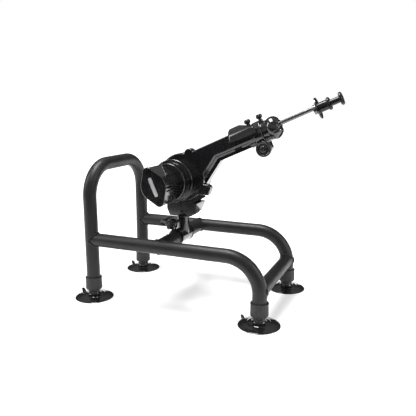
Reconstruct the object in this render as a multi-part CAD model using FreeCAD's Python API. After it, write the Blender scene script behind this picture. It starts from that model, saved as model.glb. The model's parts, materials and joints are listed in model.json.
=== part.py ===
import FreeCAD, Part
import math
import os

# Motor-driven reciprocating rod machine clamped on a tubular floor frame, in millimetres.
# Frame: X from the rear arch to the front legs, Y across, Z up. The origin is on the floor, under
# the centre of the rear arch. The machine is laid out in its own plane, with x along the rod, y
# across and z square to both, about the crank axis, and is tilted into place by place_head().

V = FreeCAD.Vector
X_AXIS, Y_AXIS, Z_AXIS = V(1, 0, 0), V(0, 1, 0), V(0, 0, 1)
os.makedirs("parts", exist_ok=True)

# ---- floor frame ---------------------------------------------------------------------------
TUBE_R = 16.0                # outside radius of every frame tube
TUBE_WALL = 2.0
LEG_SPACING = 240.0          # between leg axes, across
FRAME_LENGTH = 424.0         # between leg axes, front to back
ARCH_HEIGHT = 322.5          # axis of the arch's top
ARCH_CORNER_R = 75.0
RAIL_HEIGHT = 146.5          # axis of the side rails
RAIL_BEND_R = 78.0
MID_TUBE_X = 180.5
FRONT_TUBE_HEIGHT = 76.5
WELD_SIZE = 2.6

# ---- feet ----------------------------------------------------------------------------------
CUP_R = 46.5
CUP_HEIGHT = 10.0
CUP_SKIN = 3.0
HUB_R = 14.0
HUB_TOP = 18.0
TAB_WIDTH = 9.5
TAB_HEIGHT = 14.0
TAB_THICK = 2.2
TAB_LEAN = 18.0
TAB_ANGLE = 162.0            # direction of the pull tab about each leg
CAP_BOTTOM = 21.5
CAP_HEIGHT = 30.5
CAP_BOTTOM_R = 20.0
CAP_TOP_R = 19.2
CAP_EDGE = 3.0               # rounding of the cap's lower edge
CAP_FLOOR = 6.0              # rubber under the tube's end
CAP_LIP = 3.0                # bead round the cap's top edge
STUD_R = 5.0

# ---- clamp on the middle cross tube -----------------------------------------------------------
RUNNING_GAP = 0.05           # radial clearance of every turning or sliding fit
FREE_GAP = 0.4               # air between pieces that pass each other
SLEEVE_WALL = 3.0
SLEEVE_NEAR = -27.0
SLEEVE_FAR = 36.0
SLEEVE_RING = 3.0            # width of the raised end ring
RING_RISE = 1.6
POST_R = 14.5
POST_X = 184.5               # the post stands a little ahead of the tube's axis
LOCK_BOSS_R = 7.0
LOCK_BOSS_RISE = 4.0
LOCK_SCREW_R = 3.0
LOCK_HEAD = (6.5, 8.0)       # radius and length of the lock screw's head
LOCK_TIP = (3.0, 7.0)        # radius and length of the spigot on the head
LOCK_AT = -17.0              # along the sleeve
LOCK_ANGLE = 188.0
JAW_LENGTH = 40.0            # block that the star knob draws against the post
JAW_WIDTH = 13.0
JAW_HEIGHT = 11.5
JAW_OFFSET = 27.0            # block's centre line from the stud's axis
STAR_R = 13.5
STAR_THICK = 12.0
STAR_LOBES = 5
STAR_FACE = 4.0              # solid front of the knob, before the stud
STAR_Y = -58.0               # outer face of the star knob
STAR_HEIGHT = 184.5
WASHER_R = 14.0
WASHER_THICK = 3.0
STAR_STUD_R = 4.0

# ---- machine: place and main plane -----------------------------------------------------------
HEAD_X, HEAD_Y, HEAD_Z = 193.0, 8.0, 294.0      # crank axis
HEAD_TILT = 23.8             # rod above level, degrees
HALF_WIDTH = 26.0            # housing, each side of the middle plane
CASE_EDGE = 2.5              # rounding of the housing's outline
WALL = 4.0
CASE_R = 58.0
ARM_TOP = 47.0
ARM_BOTTOM = 1.0
ARM_END = 208.0
ELBOW_X = 104.0
STEEP_ANGLE = 33.2
LOWER_CHAMFER = 9.0
LIP_DEPTH = 7.0              # parting lip below the arm
LIP_HALF = 11.0
LUG_AT = (40.5, 45.0)        # round lugs on the near half only
LUG_R = 12.0
LUG_LENGTH = 19.0
BOSS_OUTLINE = ((26.0, -20.0), (55.0, -40.0), (60.0, -46.0), (58.0, -52.0), (47.0, -64.0), (14.0, -50.0))
BOSS_LENGTH = 18.0
BOSS_EDGE = 2.5              # rounding of the boss's corners
ARM_FOOT = 15.0              # how far the arm's lower side runs on below the case
SCREWS_AT = ((45.0, 41.0), (159.0, 12.5), (22.0, -50.0), (-30.0, -44.0))
SCREW_BOSS_R = 5.5
SCREW_TIP = 6.0              # screw's end short of the near face
CASE_SCREW_R = 2.5
CASE_SCREW_HEAD_R = 4.5
CASE_SCREW_HEAD = 4.0

# ---- saddle under the crank case ----------------------------------------------------------------
SADDLE_PLATE = 9.5
SADDLE_BOTTOM = 199.0
SADDLE_REAR = 153.0
SADDLE_FRONT = 232.5
SADDLE_TOP = 232.5
SADDLE_HEEL = (7.5, 17.0)    # slope of the rear face, along and up
SADDLE_LEAN = (9.0, 21.0)    # slope of the front face, along and up
SADDLE_TOE = 9.0             # bevel below the front face
SADDLE_WING = (-52.0, -122.0)     # reach round the case, degrees
SADDLE_CORNER = 4.0
SADDLE_BOLT_R = 3.0
SADDLE_BOLT_HEAD_R = 5.2
SADDLE_BOLT_HEAD = 4.0
SADDLE_BOLT_GAP = 40.0       # between the two bolts, across
SADDLE_BOLT_GRIP = 2.5       # depth in the case wall

# ---- crank and rod ----------------------------------------------------------------------------
ROD_RISE = 26.5              # rod axis above the crank axis
CRANK_THROW = 25.0
CON_ROD_LENGTH = 100.0
CON_ROD_THICK = 8.0
BIG_END_R = 9.0
SMALL_END_R = 7.5
CRANK_PIN_R = 4.0
WRIST_PIN_R = 3.5
ROD_R = 5.0
ROD_END = 343.0
CLEVIS_LENGTH = 34.0
CLEVIS_HALF = 11.0
CLEVIS_BEHIND = 9.0          # clevis behind its pin
BUSH_WALL = 3.0
REAR_BUSH = (150.0, 168.0)
DISC_R = 31.0
DISC_THICK = 5.0
DISC_GAP = 3.0               # crank disc to connecting rod
CRANK_SHAFT_R = 5.0
BEARING_R = 13.0
BEARING_WIDTH = 8.0
BOSS_WALL = 4.0

# ---- gear pair and motor --------------------------------------------------------------------
MODULE = 1.0
PINION_TEETH = 12
GEAR_TEETH = 36
GEAR_WIDTH = 9.0
PRESSURE_ANGLE = 20.0
ADDENDUM = 0.8
DEDENDUM = 1.15
BACKLASH = 0.12
GEAR_CASE_R = 48.0
GEAR_CASE_RIM_R = 53.0
GEAR_CASE_RIM = 7.0
GEAR_CASE_LENGTH = 26.0
GEAR_CASE_WALL = 4.0
FLANGE_R = 46.5
FLANGE_THICK = 9.0
MOTOR_LENGTH = 62.0
MOTOR_R = 31.0
MOTOR_WALL = 3.5
LOBE_R = 11.0
LOBE_AT = 35.0               # lobe centres above and below the motor axis
FLUTE_R = 3.2
FLUTE_DEPTH = 2.0
FLUTE_ANGLES = (21.0, -38.0, 159.0, 218.0)
END_CAP_THICK = 4.0
END_CAP_EDGE = 1.5
END_CAP_RISE = 1.0           # cap outline beyond the casing
MOTOR_SHAFT_R = 3.5
MOTOR_BEARING_R = 9.5
MOTOR_BEARING_WIDTH = 6.0
ROTOR_R = 18.0
ROTOR_LENGTH = 26.0
ROTOR_SLOTS = 12
AIR_GAP = 0.8
COMMUTATOR_R = 8.0
COMMUTATOR_LENGTH = 11.0
COIL_END = 5.0
BRUSH_ROOM = 9.0             # end cap to commutator
GLAND_ANGLE = 125.0
GLAND_R = 6.0
GLAND_LENGTH = 9.0

# ---- rod barrel at the arm's end -----------------------------------------------------------
BARREL_R = 24.0
BARREL_DROP = 4.0            # barrel's axis below the rod's
BARREL_END = 264.0
BARREL_WALL = 5.0
COLLAR_R = 29.0
COLLAR_START = 204.0
COLLAR_LENGTH = 21.0
CROWN_LENGTH = 26.0
CROWN_REAR_R = 24.0
CROWN_R = 26.6               # where it bulges most
CROWN_BULGE = 10.0           # that place, from its rear face
CROWN_TIP_R = 16.5
CROWN_NOTCHES = 8
NOTCH_R = 4.5
NOTCH_START = 13.0           # from the crown's rear face
NOTCH_DEPTH = (1.0, 2.8)     # where a notch starts, and at the crown's tip
FRONT_BUSH_LENGTH = 18.0
COVER_R = 34.0
COVER_START = 148.0
COVER_END = 216.0
COVER_DOME = 25.0            # length of the dome before the cover tapers
COVER_FRONT = 12.0           # front edge above the rod's axis
COVER_HEM = (2.5, -7.5)      # lower edge above the rod's axis, rear and front
COVER_SKIN = 3.0
COVER_LIP = 2.0              # lip's height and how far it stands out
COVER_EDGE = 5.0             # rounding of the rear edge
BALL_R = 7.5                 # rounded head of each locking screw
BALL_HEIGHT = 10.5
BALL_RISE = 33.0             # head centres above the rod axis
BALL_NECK_R = 4.2
BALL_SCREW_R = 3.0
BALL_BOSS_R = 5.8
BALL_BOSS_RISE = 4.0
BALL_SCREWS_AT = (195.0, 225.0)
KNOB_R = 18.0
KNOB_THICK = 11.0
KNOB_AT = (215.5, -13.0)
KNOB_LUG_R = 11.0
KNOB_LUG_HALF = 20.0
KNOB_SCREW_R = 4.0

# ---- rod end: collar, disc and plug adapter ----------------------------------------------------
END_DROP = 3.5               # collar, disc and plug sit this much below the rod's axis
END_COLLAR_R = 11.0
END_COLLAR_LENGTH = 9.0
STOP_DISC_R = 24.0
STOP_DISC_THICK = 2.5
PLUG_R = 11.2
PLUG_LENGTH = 53.0
RING_R = 14.5
RING_WIDTH = 6.5
RING_ONE = 23.0              # ring centres from the disc
NECK_R = 7.2
ROD_IN_PLUG = 20.0
SET_SCREW_R = 2.0
BADGE = (9.0, 46.0, 0.6)     # width, length and thickness of the blank plate on the end cap

# ---- worked out --------------------------------------------------------------------------------
TUBE_BORE = TUBE_R - TUBE_WALL
HALF_SPACING = LEG_SPACING / 2
TUBE_FOOT = CAP_BOTTOM + CAP_FLOOR
CENTRE_DISTANCE = MODULE * (PINION_TEETH + GEAR_TEETH) / 2
MOTOR_X = -CENTRE_DISTANCE
WRIST_X = math.sqrt((CON_ROD_LENGTH + CRANK_THROW) ** 2 - ROD_RISE ** 2)
WRIST_BACK = math.sqrt((CON_ROD_LENGTH - CRANK_THROW) ** 2 - ROD_RISE ** 2)
REST_SWING = math.degrees(math.asin(ROD_RISE / (CON_ROD_LENGTH + CRANK_THROW)))
NEAR = -HALF_WIDTH
GEAR_CASE_NEAR = NEAR - GEAR_CASE_LENGTH
FLANGE_NEAR = GEAR_CASE_NEAR - FLANGE_THICK
MOTOR_NEAR = FLANGE_NEAR - MOTOR_LENGTH
DISC_FAR = -CON_ROD_THICK / 2 - DISC_GAP
DISC_NEAR = DISC_FAR - DISC_THICK
GEAR_NEAR = GEAR_CASE_NEAR + 6.0
BARREL_BORE = BARREL_R - BARREL_WALL
CROWN_START = BARREL_END - CROWN_LENGTH
FRONT_BUSH = (CROWN_START + CROWN_BULGE - FRONT_BUSH_LENGTH, CROWN_START + CROWN_BULGE)
BARREL_START = BALL_SCREWS_AT[0] - BALL_BOSS_R - 2.0
BALL_BOSS_TOP = ROD_RISE - BARREL_DROP + BARREL_R + BALL_BOSS_RISE
BUSH_R = ROD_R + BUSH_WALL
COMMUTATOR_NEAR = MOTOR_NEAR + BRUSH_ROOM
CORE_NEAR = COMMUTATOR_NEAR + COMMUTATOR_LENGTH + COIL_END
CORE_FAR = CORE_NEAR + ROTOR_LENGTH
MOTOR_AT = (MOTOR_X, 0)
CASING_BORE = MOTOR_R - MOTOR_WALL
DISC_START = ROD_END + END_COLLAR_LENGTH
PLUG_START = DISC_START + STOP_DISC_THICK
ROD_TIP = PLUG_START + ROD_IN_PLUG
STROKE = WRIST_X - WRIST_BACK
HEAD_PLACE = FreeCAD.Placement(V(HEAD_X, HEAD_Y, HEAD_Z), FreeCAD.Rotation(Y_AXIS, -HEAD_TILT))


# ---- shape helpers --------------------------------------------------------------------------
def cylinder(radius, start, axis, length):
    return Part.makeCylinder(radius, length, start, axis)


def ring(outer, inner, start, axis, length):
    return cylinder(outer, start, axis, length).cut(cylinder(inner, start, axis, length))


def cone(radius_start, radius_end, start, axis, length):
    return Part.makeCone(radius_start, radius_end, length, start, axis)


def across(radius, at, y_start, y_end):
    """A cylinder along Y, centred at (x, z)."""
    return cylinder(radius, V(at[0], y_start, at[1]), Y_AXIS, y_end - y_start)


def across_ring(outer, inner, at, y_start, y_end):
    return across(outer, at, y_start, y_end).cut(across(inner, at, y_start, y_end))


def along(radius, x_start, x_end, drop=0.0):
    """A cylinder on the rod's axis, or parallel to it and lower by drop."""
    return cylinder(radius, V(x_start, 0, ROD_RISE - drop), X_AXIS, x_end - x_start)


def round_edges(shape):
    return [e for e in shape.Edges if e.Curve.TypeId == "Part::GeomCircle"]


def block(x0, x1, y0, y1, z0, z1):
    return Part.makeBox(x1 - x0, y1 - y0, z1 - z0, V(x0, y0, z0))


def plate(points, y_start, y_end):
    """A flat piece of the given (x, z) outline between two values of y."""
    corners = [V(x, y_start, z) for x, z in points]
    face = Part.Face(Part.makePolygon(corners + corners[:1]))
    return face.extrude(V(0, y_end - y_start, 0))


def hull_plate(big_r, big_at, small_r, small_at, y_start, y_end):
    """Two round ends joined by their common tangents."""
    dx, dz = small_at[0] - big_at[0], small_at[1] - big_at[1]
    length = math.hypot(dx, dz)
    heading = math.atan2(dz, dx)
    spread = math.acos((big_r - small_r) / length)
    points = []
    for side in (1, -1):
        angle = heading + side * spread
        pair = [(at[0] + r * math.cos(angle), at[1] + r * math.sin(angle))
                for r, at in ((big_r, big_at), (small_r, small_at))]
        points += pair if side == 1 else pair[::-1]
    body = plate(points, y_start, y_end)
    for r, at in ((big_r, big_at), (small_r, small_at)):
        body = body.fuse(across(r, at, y_start, y_end))
    return body.removeSplitter()


def merge(first, *others):
    return first.multiFuse(list(others)).removeSplitter()


def place_head(shape):
    """Tilts a piece of the machine and carries it to its place above the frame."""
    placed = shape.copy()
    placed.Placement = HEAD_PLACE.multiply(shape.Placement)
    return placed


def in_head(shape):
    """A piece of the floor frame's space, seen from the machine's own frame."""
    seen = shape.copy()
    seen.Placement = HEAD_PLACE.inverse().multiply(shape.Placement)
    return seen


def turned(shape, degrees, at):
    """A copy turned about the Y axis through (x, z), counted from +X towards +Z."""
    copy = shape.copy()
    copy.rotate(V(at[0], 0, at[1]), Y_AXIS, -degrees)
    return copy


def export(name, shape):
    shape.exportStep("parts/%s.step" % name)


def export_head(name, shape):
    export(name, place_head(shape))


# ---- floor frame ---------------------------------------------------------------------------
def bent_tube(corners, bend_r, radius):
    """A solid round bar along a path with one bend radius."""
    edges = []
    start = corners[0]
    for index in range(1, len(corners) - 1):
        corner = corners[index]
        back = (corners[index - 1] - corner).normalize()
        ahead = (corners[index + 1] - corner).normalize()
        bisector = (back + ahead).normalize()
        half = back.getAngle(ahead) / 2
        reach = bend_r / math.tan(half)
        centre = corner + bisector * (bend_r / math.sin(half))
        first, last = corner + back * reach, corner + ahead * reach
        middle = centre - bisector * bend_r
        edges.append(Part.LineSegment(start, first).toShape())
        edges.append(Part.Arc(first, middle, last).toShape())
        start = last
    edges.append(Part.LineSegment(start, corners[-1]).toShape())
    path = Part.Wire(edges)
    heading = (corners[1] - corners[0]).normalize()
    profile = Part.Wire([Part.Circle(corners[0], heading, radius).toShape()])
    return path.makePipeShell([profile], True, False)


def hollow_bent_tube(corners, bend_r):
    return bent_tube(corners, bend_r, TUBE_R).cut(bent_tube(corners, bend_r, TUBE_BORE))


def leg_cylinder(x, y, radius):
    return cylinder(radius, V(x, y, TUBE_FOOT), Z_AXIS, ARCH_HEIGHT - ARCH_CORNER_R - TUBE_FOOT)


def frame_tubes():
    arch = [V(0, -HALF_SPACING, TUBE_FOOT), V(0, -HALF_SPACING, ARCH_HEIGHT),
            V(0, HALF_SPACING, ARCH_HEIGHT), V(0, HALF_SPACING, TUBE_FOOT)]
    export("rear_arch", hollow_bent_tube(arch, ARCH_CORNER_R))
    for side, y in (("right", -HALF_SPACING), ("left", HALF_SPACING)):
        path = [V(0, y, RAIL_HEIGHT), V(FRAME_LENGTH, y, RAIL_HEIGHT), V(FRAME_LENGTH, y, TUBE_FOOT)]
        rail = hollow_bent_tube(path, RAIL_BEND_R).cut(leg_cylinder(0, y, TUBE_R))
        outside = [part for part in rail.Solids if part.BoundBox.XMax > TUBE_R * 2]
        export("side_rail_" + side, outside[0])


def cross_tube(name, x, z, joined_to):
    """A straight tube across the frame, its ends shaped to the tubes it meets."""
    bar = ring(TUBE_R, TUBE_BORE, V(x, -HALF_SPACING, z), Y_AXIS, LEG_SPACING)
    for tube in joined_to:
        bar = bar.cut(tube)
    inner = [part for part in bar.Solids if part.BoundBox.YLength > LEG_SPACING / 2]
    export(name, inner[0])


def weld(start_a, axis_a, length_a, start_b, axis_b, length_b):
    """A bead in the corner where bar b ends against bar a."""
    corner = cylinder(TUBE_R + WELD_SIZE, start_a, axis_a, length_a)
    corner = corner.common(cylinder(TUBE_R + WELD_SIZE, start_b, axis_b, length_b))
    corner = corner.cut(cylinder(TUBE_R, start_a, axis_a, length_a))
    return corner.cut(cylinder(TUBE_R, start_b, axis_b, length_b))


def front_leg_path(y):
    return [V(MID_TUBE_X, y, RAIL_HEIGHT), V(FRAME_LENGTH, y, RAIL_HEIGHT),
            V(FRAME_LENGTH, y, TUBE_FOOT)]


def cross_tubes_and_welds():
    sides = (-HALF_SPACING, HALF_SPACING)
    rails = [cylinder(TUBE_R, V(0, y, RAIL_HEIGHT), X_AXIS, FRAME_LENGTH - RAIL_BEND_R) for y in sides]
    legs = [bent_tube(front_leg_path(y), RAIL_BEND_R, TUBE_R) for y in sides]
    cross_tube("mid_cross_tube", MID_TUBE_X, RAIL_HEIGHT, rails)
    cross_tube("front_cross_tube", FRAME_LENGTH, FRONT_TUBE_HEIGHT, legs)
    reach = 3 * TUBE_R
    beads = []
    for y in sides:
        inward = V(0, -1 if y > 0 else 1, 0)
        beads.append(weld(V(0, y, RAIL_HEIGHT - reach), Z_AXIS, 2 * reach,
                          V(0, y, RAIL_HEIGHT), X_AXIS, reach))
        beads.append(weld(V(MID_TUBE_X - reach, y, RAIL_HEIGHT), X_AXIS, 2 * reach,
                          V(MID_TUBE_X, y, RAIL_HEIGHT), inward, reach))
        leg = legs[sides.index(y)]
        thick = bent_tube(front_leg_path(y), RAIL_BEND_R, TUBE_R + WELD_SIZE)
        start = V(FRAME_LENGTH, y, FRONT_TUBE_HEIGHT)
        bead = thick.common(cylinder(TUBE_R + WELD_SIZE, start, inward, reach))
        beads.append(bead.cut(leg).cut(cylinder(TUBE_R, start, inward, reach)))
    export("weld_beads", Part.makeCompound([solid for bead in beads for solid in bead.Solids]))


# ---- feet ----------------------------------------------------------------------------------
def foot_cap(x, y):
    body = cone(CAP_BOTTOM_R, CAP_TOP_R, V(x, y, CAP_BOTTOM), Z_AXIS, CAP_HEIGHT)
    body = body.makeFillet(CAP_EDGE, [e for e in body.Edges if e.BoundBox.ZMax < CAP_BOTTOM + 0.01])
    top = CAP_BOTTOM + CAP_HEIGHT
    lip = cylinder(CAP_TOP_R + 0.8, V(x, y, top - CAP_LIP), Z_AXIS, CAP_LIP)
    lip = lip.makeFillet(0.7, [e for e in lip.Edges if e.Curve.TypeId == "Part::GeomCircle"])
    body = merge(body, lip)
    body = body.cut(cylinder(TUBE_R, V(x, y, TUBE_FOOT), Z_AXIS, CAP_HEIGHT))
    return body.cut(cylinder(STUD_R, V(x, y, 0), Z_AXIS, TUBE_FOOT))


def suction_cup(x, y):
    """A thin dome with a hub, open underneath."""
    dome_r = (CUP_R ** 2 + CUP_HEIGHT ** 2) / (2 * CUP_HEIGHT)
    ball = Part.makeSphere(dome_r, V(x, y, CUP_HEIGHT - dome_r))
    hollow = Part.makeSphere(dome_r - CUP_SKIN, V(x, y, CUP_HEIGHT - dome_r))
    slab = cylinder(CUP_R, V(x, y, 0), Z_AXIS, CUP_HEIGHT)
    cup = ball.common(slab).cut(hollow)
    hub = cone(HUB_R + 3.0, HUB_R, V(x, y, CUP_HEIGHT - 2 * CUP_SKIN), Z_AXIS,
               HUB_TOP - CUP_HEIGHT + 2 * CUP_SKIN)
    hub = hub.cut(hollow)
    tab = block(-TAB_THICK, 0, -TAB_WIDTH / 2, TAB_WIDTH / 2, 0, TAB_HEIGHT)
    tab = tab.makeFillet(4.0, [e for e in tab.Edges if abs(e.BoundBox.XLength - TAB_THICK) < 0.01
                               and e.BoundBox.ZMin > TAB_HEIGHT / 2])
    tab.rotate(V(0, 0, 0), Y_AXIS, TAB_LEAN)
    tab.translate(V(CUP_R - TAB_THICK, 0, TAB_THICK * math.sin(math.radians(TAB_LEAN))))
    tab.rotate(V(0, 0, 0), Z_AXIS, TAB_ANGLE)
    tab.translate(V(x, y, 0))
    cup = merge(cup, hub, tab)
    return cup.cut(cylinder(STUD_R, V(x, y, 0), Z_AXIS, CAP_BOTTOM))


def foot_stud(x, y):
    """Threaded stud moulded in the hub, with the washer that the cap sits on."""
    shank = cylinder(STUD_R, V(x, y, CUP_HEIGHT - CUP_SKIN), Z_AXIS, TUBE_FOOT - CUP_HEIGHT + CUP_SKIN)
    washer = cylinder(HUB_R - 1.0, V(x, y, HUB_TOP), Z_AXIS, CAP_BOTTOM - HUB_TOP)
    return merge(shank, washer)


def feet():
    corners = (("rear_right", 0, -HALF_SPACING), ("rear_left", 0, HALF_SPACING),
               ("front_right", FRAME_LENGTH, -HALF_SPACING), ("front_left", FRAME_LENGTH, HALF_SPACING))
    for corner, x, y in corners:
        export("suction_cup_" + corner, suction_cup(x, y))
    export("foot_caps", Part.makeCompound([foot_cap(x, y) for _, x, y in corners]))
    export("foot_studs", Part.makeCompound([foot_stud(x, y) for _, x, y in corners]))


# ---- clamp, post and saddle --------------------------------------------------------------------
def lock_direction():
    angle = math.radians(LOCK_ANGLE)
    return V(math.cos(angle), 0, math.sin(angle))


def clamp_sleeve():
    bore = TUBE_R + RUNNING_GAP
    outer = bore + SLEEVE_WALL
    length = SLEEVE_FAR - SLEEVE_NEAR
    start = V(MID_TUBE_X, SLEEVE_NEAR, RAIL_HEIGHT)
    body = cylinder(outer, start, Y_AXIS, length)
    rings = [cylinder(outer + RING_RISE, V(MID_TUBE_X, y, RAIL_HEIGHT), Y_AXIS, SLEEVE_RING)
             for y in (SLEEVE_NEAR, SLEEVE_FAR - SLEEVE_RING)]
    centre = V(MID_TUBE_X, LOCK_AT, RAIL_HEIGHT)
    boss = cylinder(LOCK_BOSS_R, centre, lock_direction(), outer + LOCK_BOSS_RISE)
    body = merge(body, boss, *rings)
    body = body.cut(cylinder(bore, start - V(0, 1, 0), Y_AXIS, length + 2))
    return body.cut(cylinder(LOCK_SCREW_R + RUNNING_GAP, centre, lock_direction(), 2 * outer))


def lock_screw():
    """Hand screw that grips the tube through the sleeve, with a spigot on its head."""
    out = lock_direction()
    centre = V(MID_TUBE_X, LOCK_AT, RAIL_HEIGHT)
    tip = TUBE_R + FREE_GAP
    head = TUBE_R + RUNNING_GAP + SLEEVE_WALL + LOCK_BOSS_RISE + FREE_GAP
    shank = cylinder(LOCK_SCREW_R, centre + out * tip, out, head - tip)
    grip = cylinder(LOCK_HEAD[0], centre + out * head, out, LOCK_HEAD[1])
    grip = grip.makeChamfer(1.2, [e for e in grip.Edges if e.Curve.TypeId == "Part::GeomCircle"])
    spigot = cylinder(LOCK_TIP[0], centre + out * (head + LOCK_HEAD[1]), out, LOCK_TIP[1])
    return merge(shank, grip, spigot)


def post():
    """The upright between the clamp sleeve and the saddle."""
    base = V(POST_X, HEAD_Y, RAIL_HEIGHT)
    body = cylinder(POST_R, base, Z_AXIS, SADDLE_BOTTOM - RAIL_HEIGHT)
    sleeve = cylinder(TUBE_R + RUNNING_GAP + SLEEVE_WALL, V(MID_TUBE_X, SLEEVE_NEAR, RAIL_HEIGHT),
                      Y_AXIS, SLEEVE_FAR - SLEEVE_NEAR)
    return body.cut(sleeve).cut(star_stud_shape(STAR_STUD_R))


def star_stud_shape(radius):
    start = V(MID_TUBE_X, STAR_Y + STAR_FACE, STAR_HEIGHT)
    return cylinder(radius, start, Y_AXIS, HEAD_Y - STAR_Y - STAR_FACE)


def star_knob():
    centre = (MID_TUBE_X, STAR_HEIGHT)
    core = across(STAR_R * 0.72, centre, STAR_Y, STAR_Y + STAR_THICK)
    lobes = []
    for index in range(STAR_LOBES):
        angle = math.radians(360 * index / STAR_LOBES + 90)
        at = (centre[0] + STAR_R * 0.68 * math.cos(angle), centre[1] + STAR_R * 0.68 * math.sin(angle))
        lobes.append(across(STAR_R * 0.32, at, STAR_Y, STAR_Y + STAR_THICK))
    hub = across(STAR_R * 0.42, centre, STAR_Y - 2.0, STAR_Y)
    return merge(core, hub, *lobes).cut(star_stud_shape(STAR_STUD_R + RUNNING_GAP))


def star_washer():
    start = STAR_Y + STAR_THICK
    body = across(WASHER_R, (MID_TUBE_X, STAR_HEIGHT), start, start + WASHER_THICK)
    return body.cut(star_stud_shape(STAR_STUD_R))


def post_jaw():
    """Block beside the post, with an arm that reaches round to the stud."""
    x = MID_TUBE_X - JAW_OFFSET
    near = STAR_Y + STAR_THICK + WASHER_THICK
    low = STAR_HEIGHT - JAW_HEIGHT / 2
    bar = block(x - JAW_WIDTH / 2, x + JAW_WIDTH / 2, near, near + JAW_LENGTH, low, low + JAW_HEIGHT)
    bar = bar.makeFillet(1.5, [e for e in bar.Edges if e.BoundBox.YLength > JAW_LENGTH - 1])
    arm = block(x, MID_TUBE_X, near, near + STAR_STUD_R * 2, low + 1.5, low + JAW_HEIGHT - 1.5)
    eye = across(STAR_STUD_R * 2.2, (MID_TUBE_X, STAR_HEIGHT), near, near + STAR_STUD_R * 2)
    body = merge(bar, arm, eye).cut(across(STAR_STUD_R + RUNNING_GAP, (MID_TUBE_X, STAR_HEIGHT),
                                           near - 1, near + JAW_LENGTH))
    return body.cut(cylinder(POST_R, V(POST_X, HEAD_Y, RAIL_HEIGHT), Z_AXIS, SADDLE_BOTTOM))


def saddle():
    """Cradle that hugs the crank case from below and stands on the post."""
    near, far = HEAD_Y - HALF_WIDTH, HEAD_Y + HALF_WIDTH
    centre = (HEAD_X, HEAD_Z)
    knee = SADDLE_FRONT - SADDLE_LEAN[0]
    profile = [(SADDLE_REAR, SADDLE_TOP), (SADDLE_REAR, SADDLE_BOTTOM + SADDLE_HEEL[1]),
               (SADDLE_REAR + SADDLE_HEEL[0], SADDLE_BOTTOM), (knee - SADDLE_TOE, SADDLE_BOTTOM),
               (knee, SADDLE_BOTTOM + SADDLE_TOE),
               (SADDLE_FRONT, SADDLE_BOTTOM + SADDLE_TOE + SADDLE_LEAN[1]), (SADDLE_FRONT, SADDLE_TOP)]
    base = plate(profile, near, far)
    base = base.makeFillet(SADDLE_CORNER, [e for e in base.Edges if e.BoundBox.YLength > HALF_WIDTH
                                           and e.BoundBox.ZMax < SADDLE_TOP - 0.1])
    curve = across_ring(CASE_R + SADDLE_PLATE, CASE_R, centre, near, far)
    reach = 2 * (CASE_R + SADDLE_PLATE)
    first, last = (math.radians(angle) for angle in SADDLE_WING)
    middle = (first + last) / 2
    wedge = [centre] + [(centre[0] + reach * math.cos(a), centre[1] + reach * math.sin(a))
                        for a in (first, middle, last)]
    body = merge(base, curve.common(plate(wedge, near, far)))
    body = body.cut(across(CASE_R, centre, near, far))
    for bolt in saddle_bolts():
        body = body.cut(bolt)
    return body.removeSplitter()


def saddle_bolts():
    """Two cap screws from under the saddle, one into each half of the housing."""
    bolts = []
    length = HEAD_Z - CASE_R + SADDLE_BOLT_GRIP - SADDLE_BOTTOM
    for side in (-1, 1):
        seat = V(HEAD_X, HEAD_Y + side * SADDLE_BOLT_GAP / 2, SADDLE_BOTTOM)
        bolts.append(merge(cylinder(SADDLE_BOLT_R, seat, Z_AXIS, length),
                           cylinder(SADDLE_BOLT_HEAD_R, seat, -Z_AXIS, SADDLE_BOLT_HEAD)))
    return bolts


# ---- housing ---------------------------------------------------------------------------------
def arm_points(inset, lip):
    """Outline of the bent arm, moved in by inset; lip is how much the lower side is moved out."""
    low = ARM_BOTTOM + LIP_DEPTH + inset - lip
    slope = math.radians(STEEP_ANGLE)
    out = lip - LIP_DEPTH - inset
    corner = (ELBOW_X + out * math.sin(slope), ARM_BOTTOM - out * math.cos(slope))
    corner_x = corner[0] + (low - corner[1]) / math.tan(slope)
    run = CASE_R + ARM_FOOT
    foot = (corner_x - run * math.cos(slope), low - run * math.sin(slope))
    return [(0, ARM_TOP - inset), (ARM_END - inset, ARM_TOP - inset), (ARM_END - inset, low),
            (corner_x, low), foot, (0, 0)]


def case_block(inset, lip, half, y_shift=0.0):
    round_part = across(CASE_R - inset, (0, 0), -half + y_shift, half + y_shift)
    return merge(round_part, plate(arm_points(inset, lip), -half + y_shift, half + y_shift))


def outer_case():
    body = case_block(0, 0, HALF_WIDTH)
    flat = [e for e in body.Edges if abs(abs(e.BoundBox.Center.y) - HALF_WIDTH) < 0.01
            and e.BoundBox.YLength < 0.01]
    lower = [e for e in flat if e.Curve.TypeId == "Part::GeomLine"
             and e.BoundBox.ZMax < ARM_TOP / 2 and e.BoundBox.XLength > 5]
    body = body.makeChamfer(LOWER_CHAMFER, lower)
    lip = case_block(0, LIP_DEPTH, LIP_HALF)
    lug = across(LUG_R, LUG_AT, NEAR, NEAR + LUG_LENGTH)
    boss = plate(BOSS_OUTLINE, NEAR, NEAR + BOSS_LENGTH)
    boss = boss.makeFillet(BOSS_EDGE, [e for e in boss.Edges if e.BoundBox.YLength > BOSS_LENGTH - 1
                                       and e.BoundBox.XMin > BOSS_OUTLINE[0][0] + 1])
    body = merge(body, lip, lug, boss)
    outline = [e for e in body.Edges if abs(abs(e.BoundBox.Center.y) - HALF_WIDTH) < 0.01
               and e.BoundBox.YLength < 0.01]
    return body.makeFillet(CASE_EDGE, outline)


def case_cavity():
    main = case_block(WALL, 0, HALF_WIDTH - WALL)
    slot = case_block(WALL, LIP_DEPTH, LIP_HALF - WALL)
    return merge(main, slot)


def bearing_boss():
    return across(BEARING_R + BOSS_WALL, (0, 0), NEAR, NEAR + WALL + BEARING_WIDTH)


def bush_block():
    x0, x1 = REAR_BUSH
    return block(x0, x1, -HALF_WIDTH + WALL, HALF_WIDTH - WALL, ARM_BOTTOM + LIP_DEPTH, ARM_TOP - WALL)


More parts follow.
